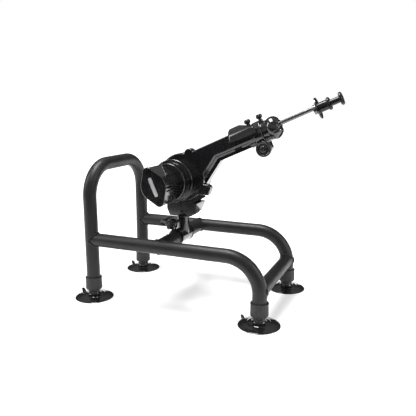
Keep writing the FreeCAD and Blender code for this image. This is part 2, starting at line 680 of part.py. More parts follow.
def housing():
    """Both halves of the cast housing, split on the middle plane."""
    body = outer_case().cut(case_cavity())
    posts = [across(SCREW_BOSS_R, at, NEAR + WALL, -NEAR - WALL).common(case_block(0, LIP_DEPTH, HALF_WIDTH))
             for at in SCREWS_AT]
    body = merge(body, bearing_boss(), bush_block(), clamp_end(), *posts)
    body = body.cut(across(BEARING_R, (0, 0), NEAR + WALL, 0))
    body = body.cut(across(CRANK_SHAFT_R + 2, (0, 0), NEAR - 1, 0))
    body = body.cut(along(ROD_R + BUSH_WALL, REAR_BUSH[0] - 1, REAR_BUSH[1] + 1))
    body = body.cut(along(BARREL_R, BARREL_START, BARREL_END, BARREL_DROP))
    for hole in [ball_hole(x) for x in BALL_SCREWS_AT] + [in_head(bolt) for bolt in saddle_bolts()]:
        body = body.cut(hole)
    body = body.cut(across(KNOB_R + FREE_GAP, KNOB_AT, NEAR - WALL, -KNOB_LUG_HALF))
    for at in SCREWS_AT:
        body = body.cut(across(CASE_SCREW_R, at, NEAR + SCREW_TIP, HALF_WIDTH + 1))
    body = body.cut(across(KNOB_SCREW_R, KNOB_AT, -HALF_WIDTH - 1, HALF_WIDTH + 1))
    size = 2 * (ARM_END + CASE_R)
    near_half = body.common(block(-size, size, -size, 0, -size, size))
    far_half = body.common(block(-size, size, 0, size, -size, size))
    return near_half, far_half


def clamp_end():
    """The split ring at the arm's end that grips the barrel, with the knob's lug below it."""
    ring_body = along(COLLAR_R, COLLAR_START, COLLAR_START + COLLAR_LENGTH, BARREL_DROP)
    ring_body = ring_body.makeFillet(2.0, round_edges(ring_body))
    lug = hull_plate(KNOB_LUG_R, (KNOB_AT[0], ARM_BOTTOM + 12), KNOB_LUG_R - 0.5, KNOB_AT,
                     -KNOB_LUG_HALF, KNOB_LUG_HALF)
    return merge(ring_body, lug)


# ---- cover, barrel and knobs -------------------------------------------------------------------
def cover_solid(inset, start, low, high):
    """The cover's outline in (x, z), bent round the rod; low and high move its edges."""
    radius = COVER_R - inset
    top = ROD_RISE + radius
    outline = [(start, ROD_RISE + COVER_HEM[0] + low), (start, top),
               (COVER_START + COVER_DOME, top), (COVER_END, ROD_RISE + COVER_FRONT - inset),
               (COVER_END, ROD_RISE + COVER_HEM[1] + low)]
    if high:
        outline[1:4] = [(start, outline[0][1] + high), (COVER_END, outline[4][1] + high)]
        radius = COVER_R + COVER_LIP
    return along(radius, start, COVER_END).common(plate(outline, -radius, radius))


def rod_cover():
    """Half-round cover over the rear bush, with a sloping front and a turned-out lower lip."""
    outer = cover_solid(0, COVER_START, 0, 0)
    rounded = [e for e in outer.Edges if e.BoundBox.XMax < COVER_START + 0.01
               and e.BoundBox.ZMax > ROD_RISE + COVER_R / 2]
    outer = outer.makeFillet(COVER_EDGE, rounded)
    inner = cover_solid(COVER_SKIN, COVER_START + COVER_SKIN, -COVER_SKIN, 0)
    lip = cover_solid(0, COVER_START, 0, COVER_LIP).cut(along(COVER_R - 1.0, COVER_START - 1, COVER_END + 1))
    shell = merge(outer.cut(inner), lip)
    shell = shell.cut(case_block(0, 0, HALF_WIDTH)).cut(barrel_shape()).cut(clamp_end())
    for x in BALL_SCREWS_AT:
        shell = shell.cut(ball_hole(x, FREE_GAP))
    return shell


def barrel_shape():
    return along(BARREL_R, BARREL_START, CROWN_START, BARREL_DROP)


def ball_boss(x):
    """Round boss on the barrel's top for a ball screw."""
    return cylinder(BALL_BOSS_R, V(x, 0, ROD_RISE), Z_AXIS, BALL_BOSS_TOP - ROD_RISE)


def ball_hole(x, extra=0.0):
    """The space that a ball screw and its boss take above the rod."""
    return cylinder(BALL_BOSS_R + extra, V(x, 0, ROD_RISE), Z_AXIS, 2 * BARREL_R)


def barrel():
    """Bearing housing for the front bush, clamped in the arm's end ring."""
    body = merge(barrel_shape(), *[ball_boss(x) for x in BALL_SCREWS_AT])
    body = body.cut(along(BARREL_BORE, BARREL_START - 1, FRONT_BUSH[0], BARREL_DROP))
    body = body.cut(along(BUSH_R, *FRONT_BUSH))
    for x in BALL_SCREWS_AT:
        body = body.cut(cylinder(BALL_SCREW_R + RUNNING_GAP, V(x, 0, ROD_RISE), Z_AXIS, 2 * BARREL_R))
    return body


def barrel_crown():
    """Round-nosed nut on the barrel's front, notched into ribs round its nose."""
    centre = ROD_RISE - BARREL_DROP
    rear, bulge, tip = [V(x, 0, centre + radius) for x, radius in (
        (CROWN_START, CROWN_REAR_R), (CROWN_START + CROWN_BULGE, CROWN_R), (BARREL_END, CROWN_TIP_R))]
    sides = Part.makePolygon([tip, V(BARREL_END, 0, centre), V(CROWN_START, 0, centre), rear])
    face = Part.Face(Part.Wire([Part.Arc(rear, bulge, tip).toShape()] + sides.Edges))
    body = face.revolve(V(0, 0, centre), X_AXIS, 360)
    first = V(CROWN_START + NOTCH_START, 0, centre + CROWN_R + NOTCH_R - NOTCH_DEPTH[0])
    last = V(BARREL_END, 0, centre + CROWN_TIP_R + NOTCH_R - NOTCH_DEPTH[1])
    for index in range(CROWN_NOTCHES):
        notch = cylinder(NOTCH_R, first, (last - first).normalize(), 2 * CROWN_LENGTH)
        notch.rotate(V(0, 0, centre), X_AXIS, 360 * (index + 0.5) / CROWN_NOTCHES)
        body = body.cut(notch)
    body = body.cut(along(BUSH_R, CROWN_START - 1, FRONT_BUSH[1]))
    return body.cut(along(ROD_R + 3 * FREE_GAP, CROWN_START, BARREL_END + 1))


def bush(start, end):
    return along(BUSH_R, start, end).cut(along(ROD_R + RUNNING_GAP, start - 1, end + 1))


def ball_screw(x):
    """Locking screw with a rounded head, through the top of the barrel."""
    low = ROD_RISE - BARREL_DROP + BARREL_BORE + 1.0
    head_low = ROD_RISE + BALL_RISE - BALL_HEIGHT / 2
    head = cylinder(BALL_R, V(x, 0, head_low), Z_AXIS, BALL_HEIGHT)
    head = head.makeFillet(BALL_HEIGHT * 0.44, round_edges(head))
    neck_low = BALL_BOSS_TOP + FREE_GAP
    neck = cylinder(BALL_NECK_R, V(x, 0, neck_low), Z_AXIS, head_low + 1.0 - neck_low)
    shank = cylinder(BALL_SCREW_R, V(x, 0, low), Z_AXIS, neck_low - low)
    return merge(head, neck, shank)


def round_knob():
    """Flat round knob that closes the split ring round the barrel."""
    far = -KNOB_LUG_HALF - FREE_GAP
    body = across(KNOB_R, KNOB_AT, far - KNOB_THICK, far)
    body = body.makeFillet(2.5, [e for e in body.Edges if e.BoundBox.YMax < far - KNOB_THICK + 0.01
                                 and e.Curve.TypeId == "Part::GeomCircle"])
    dish = across(KNOB_R * 0.72, KNOB_AT, far - KNOB_THICK, far - KNOB_THICK + 1.2)
    return body.cut(dish).cut(knob_screw())


def knob_screw():
    far = -KNOB_LUG_HALF - FREE_GAP
    return across(KNOB_SCREW_R - RUNNING_GAP, KNOB_AT, far - KNOB_THICK + 2.0, KNOB_LUG_HALF + 2.0)


# ---- crank, connecting rod and slide rod ---------------------------------------------------------
def crank_pin_at():
    angle = math.radians(REST_SWING)
    return CRANK_THROW * math.cos(angle), CRANK_THROW * math.sin(angle)


def crank_disc():
    body = across(DISC_R, (0, 0), DISC_NEAR, DISC_FAR)
    for degrees in (REST_SWING + 65, REST_SWING - 65):
        angle = math.radians(degrees)
        at = (DISC_R * 0.66 * math.cos(angle), DISC_R * 0.66 * math.sin(angle))
        body = body.cut(across(DISC_R * 0.2, at, DISC_NEAR - 1, DISC_FAR + 1))
    body = body.cut(across(CRANK_PIN_R, crank_pin_at(), DISC_NEAR - 1, DISC_FAR + 1))
    return body.cut(across(CRANK_SHAFT_R, (0, 0), DISC_NEAR - 1, DISC_FAR + 1))


def connecting_rod():
    half = CON_ROD_THICK / 2
    wrist, pin = (WRIST_X, ROD_RISE), crank_pin_at()
    flank = hull_plate(BIG_END_R * 0.55, pin, SMALL_END_R * 0.5, wrist, -half * 0.7, half * 0.7)
    body = merge(flank, across(BIG_END_R, pin, -half, half), across(SMALL_END_R, wrist, -half, half))
    body = body.cut(across(CRANK_PIN_R + RUNNING_GAP, pin, -half - 1, half + 1))
    return body.cut(across(WRIST_PIN_R + RUNNING_GAP, wrist, -half - 1, half + 1))


def clevis():
    start = WRIST_X - CLEVIS_BEHIND
    body = along(CLEVIS_HALF, start, start + CLEVIS_LENGTH)
    gap = CON_ROD_THICK / 2 + FREE_GAP
    slot_end = WRIST_X + SMALL_END_R + 2.0
    body = body.cut(block(start - 1, slot_end, -gap, gap, 0, ROD_RISE + 2 * CLEVIS_HALF))
    body = body.cut(across(WRIST_PIN_R, (WRIST_X, ROD_RISE), -CLEVIS_HALF - 1, CLEVIS_HALF + 1))
    return body.cut(along(ROD_R, slot_end, start + CLEVIS_LENGTH + 1))


def plug_adapter():
    """Black plug with two rounded rings, bored for the rod's tip."""
    end = PLUG_START + PLUG_LENGTH
    first = PLUG_START + RING_ONE
    body = merge(along(PLUG_R, PLUG_START, first), along(NECK_R, first, end - RING_WIDTH / 2))
    for centre in (first, end - RING_WIDTH / 2):
        wheel = along(RING_R, centre - RING_WIDTH / 2, centre + RING_WIDTH / 2)
        body = merge(body, wheel.makeFillet(RING_WIDTH * 0.42, [
            e for e in wheel.Edges if e.Curve.TypeId == "Part::GeomCircle"]))
    body.translate(V(0, 0, -END_DROP))
    return body.cut(along(ROD_R, PLUG_START - 1, ROD_TIP))


def rod_parts():
    export_head("slide_rod", along(ROD_R, WRIST_X + SMALL_END_R + 2.0, ROD_TIP))
    export_head("rod_clevis", clevis())
    export_head("wrist_pin", across(WRIST_PIN_R, (WRIST_X, ROD_RISE), -CLEVIS_HALF + 0.8,
                                    CLEVIS_HALF - 0.8))
    bore = along(ROD_R, ROD_END - 1, ROD_TIP)
    drop = V(0, 0, -END_DROP)
    collar = along(END_COLLAR_R, ROD_END, DISC_START)
    collar = collar.makeFillet(1.0, [e for e in collar.Edges if e.Curve.TypeId == "Part::GeomCircle"])
    collar.translate(drop)
    hole = cylinder(SET_SCREW_R, V(ROD_END + END_COLLAR_LENGTH / 2, 0, ROD_RISE - END_DROP - END_COLLAR_R),
                    Z_AXIS, END_DROP + END_COLLAR_R - ROD_R)
    export_head("end_collar", collar.cut(bore).cut(hole))
    screw = hole.cut(bore)
    screw = screw.common(collar)
    export_head("collar_set_screw", screw)
    disc = along(STOP_DISC_R, DISC_START, PLUG_START)
    disc.translate(drop)
    export_head("stop_disc", disc.cut(bore))
    export_head("plug_adapter", plug_adapter())


# ---- gear pair -----------------------------------------------------------------------------------
def involute(angle):
    return math.tan(angle) - angle


def gear(teeth, width, y_start, bore):
    """Spur gear on the Y axis with a tooth centred on +X."""
    pitch_r = MODULE * teeth / 2
    base_r = pitch_r * math.cos(math.radians(PRESSURE_ANGLE))
    tip_r = pitch_r + ADDENDUM * MODULE
    root_r = pitch_r - DEDENDUM * MODULE
    half_pitch = math.pi / (2 * teeth) - BACKLASH / (2 * pitch_r)
    half_base = half_pitch + involute(math.radians(PRESSURE_ANGLE))

    def point(radius, angle):
        return V(radius * math.cos(angle), y_start, radius * math.sin(angle))

    def flank(centre, side):
        points = []
        for step in range(5):
            radius = base_r + (tip_r - base_r) * step / 4
            half = half_base - involute(math.acos(min(1.0, base_r / radius)))
            points.append(point(radius, centre + side * half))
        return points

    edges = []
    pitch = 2 * math.pi / teeth
    for index in range(teeth):
        centre = index * pitch
        rise, fall = flank(centre, -1), flank(centre, 1)[::-1]
        foot_in = point(root_r, centre - half_base)
        foot_out = point(root_r, centre + half_base)
        next_in = point(root_r, centre + pitch - half_base)
        edges.append(Part.LineSegment(foot_in, rise[0]).toShape())
        for points in (rise, fall):
            curve = Part.BSplineCurve()
            curve.interpolate(points)
            edges.append(curve.toShape())
            if points is rise:
                edges.append(Part.Arc(rise[-1], point(tip_r, centre), fall[0]).toShape())
        edges.append(Part.LineSegment(fall[-1], foot_out).toShape())
        edges.append(Part.Arc(foot_out, point(root_r, centre + pitch / 2), next_in).toShape())
    face = Part.Face(Part.Wire(edges))
    body = face.extrude(V(0, width, 0))
    return body.cut(across(bore, (0, 0), y_start - 1, y_start + width + 1))


def gears():
    wheel = gear(GEAR_TEETH, GEAR_WIDTH, GEAR_NEAR, CRANK_SHAFT_R)
    export_head("crank_gear", wheel)
    pinion = gear(PINION_TEETH, GEAR_WIDTH + 2.0, GEAR_NEAR - 1.0, MOTOR_SHAFT_R)
    pinion = turned(pinion, 180.0 / PINION_TEETH, (0, 0))
    pinion.translate(V(MOTOR_X, 0, 0))
    export_head("motor_pinion", pinion)


# ---- motor -----------------------------------------------------------------------------------
def lobed(radius_extra, y_start, y_end):
    """The motor's outline: a round can with a long screw lobe above and below."""
    halves = [hull_plate(MOTOR_R + radius_extra, MOTOR_AT, LOBE_R + radius_extra,
                         (MOTOR_X, side * LOBE_AT), y_start, y_end) for side in (1, -1)]
    return merge(*halves)


def cut_flutes(body, y_start, y_end):
    for degrees in FLUTE_ANGLES:
        angle = math.radians(degrees)
        reach = MOTOR_R + FLUTE_R - FLUTE_DEPTH
        at = (MOTOR_X + reach * math.cos(angle), reach * math.sin(angle))
        body = body.cut(across(FLUTE_R, at, y_start - 1, y_end + 1))
    return body


def motor_casing():
    body = cut_flutes(lobed(0, MOTOR_NEAR, FLANGE_NEAR), MOTOR_NEAR, FLANGE_NEAR)
    body = body.cut(across(CASING_BORE, MOTOR_AT, MOTOR_NEAR - 1, FLANGE_NEAR + 1))
    for side in (1, -1):
        body = body.cut(across(CASE_SCREW_R, (MOTOR_X, side * LOBE_AT), MOTOR_NEAR - 1, FLANGE_NEAR + 1))
    return body


def motor_end_cap():
    body = lobed(END_CAP_RISE, MOTOR_NEAR - END_CAP_THICK, MOTOR_NEAR)
    body = body.makeFillet(END_CAP_EDGE, [e for e in body.Edges
                                          if e.BoundBox.YMax < MOTOR_NEAR - END_CAP_THICK + 0.01])
    boss = across_ring(MOTOR_BEARING_R + 2.5, MOTOR_BEARING_R, MOTOR_AT, MOTOR_NEAR,
                       MOTOR_NEAR + MOTOR_BEARING_WIDTH)
    body = merge(body, boss)
    for side in (1, -1):
        body = body.cut(across(CASE_SCREW_R, (MOTOR_X, side * LOBE_AT),
                               MOTOR_NEAR - END_CAP_THICK - 1, MOTOR_NEAR + 1))
    return body


def cap_screws():
    screws = []
    for side in (1, -1):
        at = (MOTOR_X, side * LOBE_AT)
        start = MOTOR_NEAR - END_CAP_THICK
        screw = merge(across(CASE_SCREW_R, at, start, FLANGE_NEAR),
                      across(CASE_SCREW_HEAD_R, at, start - CASE_SCREW_HEAD * 0.6, start))
        screws.append(screw.cut(across(CASE_SCREW_R * 0.8, at, start - CASE_SCREW_HEAD, start)))
    return Part.makeCompound(screws)


def cap_badge():
    """Blank raised plate along the end cap."""
    wide, long, thick = BADGE
    start = MOTOR_NEAR - END_CAP_THICK
    body = block(MOTOR_X - wide / 2, MOTOR_X + wide / 2, start - thick, start, -long / 2, long / 2)
    return body.makeFillet(wide * 0.45, [e for e in body.Edges if abs(e.BoundBox.YLength - thick) < 0.01])


def motor_flange():
    """Plate between the motor and the gear case, with a pocket for a bearing of each shaft."""
    body = across(FLANGE_R, MOTOR_AT, FLANGE_NEAR, GEAR_CASE_NEAR)
    body = body.makeFillet(2.0, [e for e in body.Edges if e.Curve.TypeId == "Part::GeomCircle"])
    body = body.cut(across(MOTOR_BEARING_R, MOTOR_AT, FLANGE_NEAR - 1, FLANGE_NEAR + MOTOR_BEARING_WIDTH))
    body = body.cut(across(MOTOR_SHAFT_R + 1.5, MOTOR_AT, FLANGE_NEAR, GEAR_CASE_NEAR + 1))
    return body.cut(across(BEARING_R, (0, 0), GEAR_CASE_NEAR - BEARING_WIDTH + 2, GEAR_CASE_NEAR + 1))


def gear_case():
    body = across(GEAR_CASE_R, MOTOR_AT, GEAR_CASE_NEAR, NEAR)
    rim = across(GEAR_CASE_RIM_R, MOTOR_AT, NEAR - GEAR_CASE_RIM, NEAR)
    rim = rim.makeFillet(2.5, [e for e in rim.Edges if e.BoundBox.YMax < NEAR - GEAR_CASE_RIM + 0.01])
    body = merge(body, rim)
    body = body.cut(across(GEAR_CASE_R - GEAR_CASE_WALL, MOTOR_AT, GEAR_CASE_NEAR - 1, NEAR - 3.0))
    return body.cut(across(CRANK_SHAFT_R + 2, (0, 0), NEAR - 4, NEAR + 1))


def ball_bearing(outer, inner, at, y_start, width):
    """Shielded bearing drawn as one ring, with a groove in both faces."""
    body = across_ring(outer, inner, at, y_start, y_start + width)
    middle, half = (outer + inner) / 2, (outer - inner) / 5
    for y in (y_start, y_start + width - 0.6):
        body = body.cut(across_ring(middle + half, middle - half, at, y, y + 0.6))
    return body


def motor_parts():
    export_head("motor_casing", motor_casing())
    export_head("motor_end_cap", motor_end_cap())
    export_head("end_cap_screws", cap_screws())
    export_head("end_cap_badge", cap_badge())
    export_head("motor_flange", motor_flange())
    export_head("gear_case", gear_case())
    rear = ball_bearing(MOTOR_BEARING_R, MOTOR_SHAFT_R + RUNNING_GAP, MOTOR_AT, MOTOR_NEAR,
                        MOTOR_BEARING_WIDTH)
    front = ball_bearing(MOTOR_BEARING_R, MOTOR_SHAFT_R + RUNNING_GAP, MOTOR_AT, FLANGE_NEAR,
                         MOTOR_BEARING_WIDTH)
    export_head("motor_bearings", Part.makeCompound([rear, front]))
    magnet_ring = across_ring(CASING_BORE, ROTOR_R + AIR_GAP, MOTOR_AT, CORE_NEAR, CORE_FAR)
    gap = block(MOTOR_X - 8, MOTOR_X + 8, CORE_NEAR - 1, CORE_FAR + 1, -MOTOR_R, MOTOR_R)
    export_head("motor_magnets", magnet_ring.cut(gap))
    export_head("motor_shaft", across(MOTOR_SHAFT_R, MOTOR_AT, MOTOR_NEAR + 0.5,
                                      GEAR_NEAR + GEAR_WIDTH + 1.0))
    core = across_ring(ROTOR_R, MOTOR_SHAFT_R, MOTOR_AT, CORE_NEAR, CORE_FAR)
    for index in range(ROTOR_SLOTS):
        angle = 2 * math.pi * index / ROTOR_SLOTS
        at = (MOTOR_X + (ROTOR_R - 3.5) * math.cos(angle), (ROTOR_R - 3.5) * math.sin(angle))
        core = core.cut(across(1.9, at, CORE_NEAR - 1, CORE_FAR + 1))
    export_head("rotor_core", core)
    coils = [across_ring(ROTOR_R - 2.5, MOTOR_SHAFT_R, MOTOR_AT, y, y + COIL_END)
             for y in (CORE_NEAR - COIL_END, CORE_FAR)]
    export_head("rotor_windings", Part.makeCompound(coils))
    export_head("commutator", across_ring(COMMUTATOR_R, MOTOR_SHAFT_R, MOTOR_AT, COMMUTATOR_NEAR,
                                          COMMUTATOR_NEAR + COMMUTATOR_LENGTH))
    brushes = []
    for side in (1, -1):
        inner, outer = COMMUTATOR_R + 0.3, CASING_BORE
        x0, x1 = sorted((MOTOR_X + side * inner, MOTOR_X + side * outer))
        brushes.append(block(x0, x1, COMMUTATOR_NEAR + 2, COMMUTATOR_NEAR + COMMUTATOR_LENGTH - 2, -3, 3)
                       .common(across(CASING_BORE, MOTOR_AT, COMMUTATOR_NEAR, CORE_NEAR)))
    export_head("motor_brushes", Part.makeCompound(brushes))


def crank_parts():
    export_head("crank_shaft", across(CRANK_SHAFT_R, (0, 0), GEAR_CASE_NEAR - BEARING_WIDTH + 2.5, DISC_FAR))
    export_head("crank_disc", crank_disc())
    export_head("crank_pin", across(CRANK_PIN_R, crank_pin_at(), DISC_NEAR, -CON_ROD_THICK / 2 - FREE_GAP))
    inner = ball_bearing(BEARING_R, CRANK_SHAFT_R + RUNNING_GAP, (0, 0), NEAR + WALL, BEARING_WIDTH)
    outer = ball_bearing(BEARING_R, CRANK_SHAFT_R + RUNNING_GAP, (0, 0),
                         GEAR_CASE_NEAR - BEARING_WIDTH + 2, BEARING_WIDTH)
    export_head("crank_bearings", Part.makeCompound([inner, outer]))
    export_head("connecting_rod", connecting_rod())


def case_screws():
    """Cap screws that hold the two halves of the housing together, from the far side."""
    screws = []
    for at in SCREWS_AT:
        screw = merge(across(CASE_SCREW_R, at, NEAR + SCREW_TIP, HALF_WIDTH),
                      across(CASE_SCREW_HEAD_R, at, HALF_WIDTH, HALF_WIDTH + CASE_SCREW_HEAD))
        socket = across(CASE_SCREW_R * 0.8, at, HALF_WIDTH + 1, HALF_WIDTH + CASE_SCREW_HEAD + 1)
        screws.append(screw.cut(socket))
    return Part.makeCompound(screws)


def cable_gland():
    """Gland where the supply lead enters, on the upper rear of the motor flange."""
    angle = math.radians(GLAND_ANGLE)
    radial = V(math.cos(angle), 0, math.sin(angle))
    start = V(MOTOR_X, (FLANGE_NEAR + GEAR_CASE_NEAR) / 2, 0) + radial * (FLANGE_R - 2.0)
    body = cylinder(GLAND_R, start, radial, GLAND_LENGTH)
    body = body.cut(cylinder(GLAND_R * 0.5, start + radial * 2, radial, GLAND_LENGTH))
    return body.cut(motor_flange()).cut(gear_case())


# ---- the whole object ----------------------------------------------------------------------------
frame_tubes()
cross_tubes_and_welds()
feet()
export("clamp_sleeve", clamp_sleeve())
export("lock_screw", lock_screw())
export("post", post())
export("star_knob", star_knob())
export("star_stud", star_stud_shape(STAR_STUD_R))
export("star_washer", star_washer())
export("post_jaw", post_jaw())
export("saddle", saddle())
export("saddle_bolts", Part.makeCompound(saddle_bolts()))
near_half, far_half = housing()
export_head("housing_near_half", near_half)
export_head("housing_far_half", far_half)
export_head("case_screws", case_screws())
export_head("rod_cover", rod_cover())
export_head("barrel", barrel())
export_head("barrel_crown", barrel_crown())
export_head("rod_bushes", Part.makeCompound([bush(*REAR_BUSH), bush(*FRONT_BUSH)]))
for name, x in zip(("rear", "front"), BALL_SCREWS_AT):
    export_head("ball_screw_" + name, ball_screw(x))
export_head("round_knob", round_knob())
export_head("knob_screw", knob_screw())
gears()
motor_parts()
crank_parts()
rod_parts()
export_head("cable_gland", cable_gland())
print("rod stroke", round(STROKE, 3), "crank rest angle", round(REST_SWING, 4))
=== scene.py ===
import json
import math

import bmesh
import bpy
from mathutils import Matrix, Vector


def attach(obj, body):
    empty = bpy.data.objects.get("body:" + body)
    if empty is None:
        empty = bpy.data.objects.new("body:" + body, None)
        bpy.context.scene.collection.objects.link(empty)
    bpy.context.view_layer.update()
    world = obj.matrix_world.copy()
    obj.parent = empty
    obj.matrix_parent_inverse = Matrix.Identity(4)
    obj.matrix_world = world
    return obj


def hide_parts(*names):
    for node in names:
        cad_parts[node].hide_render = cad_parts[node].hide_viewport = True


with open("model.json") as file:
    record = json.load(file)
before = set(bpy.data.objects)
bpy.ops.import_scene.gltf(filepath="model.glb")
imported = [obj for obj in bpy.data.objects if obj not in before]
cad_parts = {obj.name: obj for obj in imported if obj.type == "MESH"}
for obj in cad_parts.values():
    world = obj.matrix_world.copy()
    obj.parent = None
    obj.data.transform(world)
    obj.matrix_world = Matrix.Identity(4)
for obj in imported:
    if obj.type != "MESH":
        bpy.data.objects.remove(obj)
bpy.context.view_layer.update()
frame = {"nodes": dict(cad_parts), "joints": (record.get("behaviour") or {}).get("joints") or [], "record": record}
nodes = frame["nodes"]
joints = {joint["name"]: joint for joint in frame["joints"]}
SLOT_OF = {part["node"]: part["material_slot"] for part in frame["record"]["subparts"]}
MM = 0.001

# The machine's own frame: x along the rod, y across, z square to both, about the crank axis.
ROD_WAY = Vector(joints["rod_slide"]["axis"])
RISE_WAY = Vector(joints["ball_screw_rear_turn"]["axis"])
CRANK_AT = Vector(joints["crank_turn"]["pos_m"])
HEAD = Matrix.Translation(CRANK_AT) @ Matrix((ROD_WAY, (0, 1, 0), RISE_WAY)).transposed().to_4x4()


# ---- materials -----------------------------------------------------------------------------
def add(tree, kind, **values):
    """A shader node with its inputs set by name; spaces in names are written as underscores."""
    node = tree.nodes.new(kind)
    for name, value in values.items():
        node.inputs[name.replace("_", " ")].default_value = value
    return node


def noise(tree, scale, detail=3.0, stretch=(1, 1, 1)):
    place = tree.nodes.new("ShaderNodeTexCoord")
    mapping = tree.nodes.new("ShaderNodeMapping")
    mapping.inputs["Scale"].default_value = stretch
    texture = add(tree, "ShaderNodeTexNoise", Scale=scale, Detail=detail)
    tree.links.new(place.outputs["Object"], mapping.inputs["Vector"])
    tree.links.new(mapping.outputs["Vector"], texture.inputs["Vector"])
    return texture.outputs["Fac"]


def ramp(tree, source, low, high, start=0.35, end=0.65):
    """Maps a noise to a number between low and high."""
    node = tree.nodes.new("ShaderNodeMapRange")
    for name, value in (("From Min", start), ("From Max", end), ("To Min", low), ("To Max", high)):
        node.inputs[name].default_value = value
    tree.links.new(source, node.inputs["Value"])
    return node.outputs["Result"]


def blend_colours(tree, factor, first, second):
    node = tree.nodes.new("ShaderNodeMix")
    node.data_type = "RGBA"
    node.inputs["A"].default_value = (*first, 1)
    node.inputs["B"].default_value = (*second, 1)
    tree.links.new(factor, node.inputs["Factor"])
    return node.outputs["Result"]


def bump(tree, height, strength, distance, below=None):
    node = add(tree, "ShaderNodeBump", Strength=strength, Distance=distance)
    tree.links.new(height, node.inputs["Height"])
    if below:
        tree.links.new(below, node.inputs["Normal"])
    return node.outputs["Normal"]


def surface(name, dark, light, rough, grain, grain_size, metal=0.0, coat=0.0, coat_rough=0.05,
            wave=0.0, wave_size=60.0, stretch=(1, 1, 1), specular=0.5):
    """A finish: two close colours, a roughness that varies, fine grain and a long soft wave.

    rough is (lowest, highest); grain and wave are bump heights in metres."""
    material = bpy.data.materials.new(name)
    material.use_nodes = True
    tree = material.node_tree
    shader = tree.nodes["Principled BSDF"]
    shader.inputs["Metallic"].default_value = metal
    shader.inputs["Coat Weight"].default_value = coat
    shader.inputs["Coat Roughness"].default_value = coat_rough
    shader.inputs["Specular IOR Level"].default_value = specular
    broad = noise(tree, 22.0, 4.0, stretch)
    fine = noise(tree, grain_size, 5.0, stretch)
    tree.links.new(blend_colours(tree, ramp(tree, broad, 0, 1), dark, light),
                   shader.inputs["Base Color"])
    tree.links.new(ramp(tree, noise(tree, 90.0, 4.0, stretch), *rough), shader.inputs["Roughness"])
    normal = bump(tree, fine, 1.0, grain)
    if wave:
        normal = bump(tree, noise(tree, wave_size, 1.0), 1.0, wave, below=normal)
    tree.links.new(normal, shader.inputs["Normal"])
    return material


def grey(value, tint=1.0):
    return (value, value, value * tint)


FINISHES = {
    "frame_paint": surface("frame_paint", (0.0088, 0.0084, 0.0094), (0.0124, 0.0118, 0.0132),
                           (0.38, 0.48), 0.00009, 1500.0, coat=0.05, coat_rough=0.4,
                           specular=0.35),
    "cup_vinyl": surface("cup_vinyl", grey(0.006), grey(0.010), (0.05, 0.10), 0.000004, 900.0,
                         coat=0.6, wave=0.00006, wave_size=45.0),
    "cap_rubber": surface("cap_rubber", grey(0.018, 1.03), grey(0.025, 1.03), (0.5, 0.65),
                          0.00006, 1300.0),
    "case_enamel": surface("case_enamel", grey(0.005, 1.15), grey(0.009, 1.2), (0.14, 0.22),
                           0.00001, 1100.0, coat=0.9, coat_rough=0.06, wave=0.00005,
                           wave_size=70.0),
    "motor_gloss": surface("motor_gloss", grey(0.008), grey(0.012), (0.12, 0.2), 0.000008,
                           1400.0, coat=1.0, coat_rough=0.05, wave=0.00002, wave_size=60.0),
    "knob_plastic": surface("knob_plastic", grey(0.008), grey(0.013), (0.2, 0.3), 0.00002, 1500.0,
                            coat=0.3),
    "plug_plastic": surface("plug_plastic", grey(0.008), grey(0.013), (0.16, 0.24), 0.00001, 1300.0,
                            coat=0.15, specular=0.3),
    "bright_chrome": surface("bright_chrome", grey(0.15, 1.02), grey(0.19, 1.02), (0.20, 0.28),
                             0.000002, 2000.0, metal=1.0),
    "bright_steel": surface("bright_steel", grey(0.52, 1.02), grey(0.62, 1.02), (0.2, 0.32),
                            0.000008, 1800.0, metal=1.0),
    "plain_steel": surface("plain_steel", grey(0.36, 1.03), grey(0.46, 1.02), (0.28, 0.42),
                           0.00001, 1500.0, metal=1.0),
    "bronze": surface("bronze", (0.42, 0.27, 0.12), (0.55, 0.36, 0.17), (0.3, 0.42), 0.00001,
                      1400.0, metal=1.0),
    "winding_copper": surface("winding_copper", (0.40, 0.15, 0.06), (0.52, 0.21, 0.09),
                              (0.3, 0.4), 0.00006, 700.0, metal=1.0, coat=0.5,
                              stretch=(1, 6, 1)),
    "magnet_ferrite": surface("magnet_ferrite", grey(0.03), grey(0.05), (0.5, 0.65), 0.00003,
                              900.0),
    "badge_white": surface("badge_white", grey(0.40), grey(0.46), (0.25, 0.35), 0.00001, 900.0,
                           coat=0.3),
}


def finish_as(piece, slot_name):
    piece.data.materials.clear()
    piece.data.materials.append(FINISHES[slot_name])


for node_name, cad_piece in nodes.items():
    finish_as(cad_piece, SLOT_OF[node_name])


# ---- detailed pieces -------------------------------------------------------------------------
# Sizes and places on the frame, in mm.
TUBE_R = 16.0
FRAME_LENGTH, HALF_SPACING = 424, 120
LEGS = {"rear_right": (0, -HALF_SPACING), "rear_left": (0, HALF_SPACING),
        "front_right": (FRAME_LENGTH, -HALF_SPACING), "front_left": (FRAME_LENGTH, HALF_SPACING)}
MID_TUBE_X, RAIL_Z, FRONT_TUBE_Z, LEG_BEND_R = 180.5, 146.5, 76.5, 78.0


def at_mm(x, y, z):
    return Matrix.Translation(Vector((x, y, z)) * MM)


def head_mm(x, y, z):
    return HEAD @ at_mm(x, y, z)


TOWARDS_NEAR = Matrix.Rotation(math.radians(90), 4, "X")        # local Z to -Y, local Y to Z


def make_piece(name, bm, slot_name, body, *replaced, sharp=35.0):
    bmesh.ops.recalc_face_normals(bm, faces=bm.faces)
    mesh = bpy.data.meshes.new(name)
    bm.to_mesh(mesh)
    bm.free()
    mesh.shade_smooth()
    mesh.set_sharp_from_angle(angle=math.radians(sharp))
    piece = bpy.data.objects.new(name, mesh)
    bpy.context.collection.objects.link(piece)
    finish_as(piece, slot_name)
    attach(piece, body)
    if replaced:
        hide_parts(*replaced)
    return piece


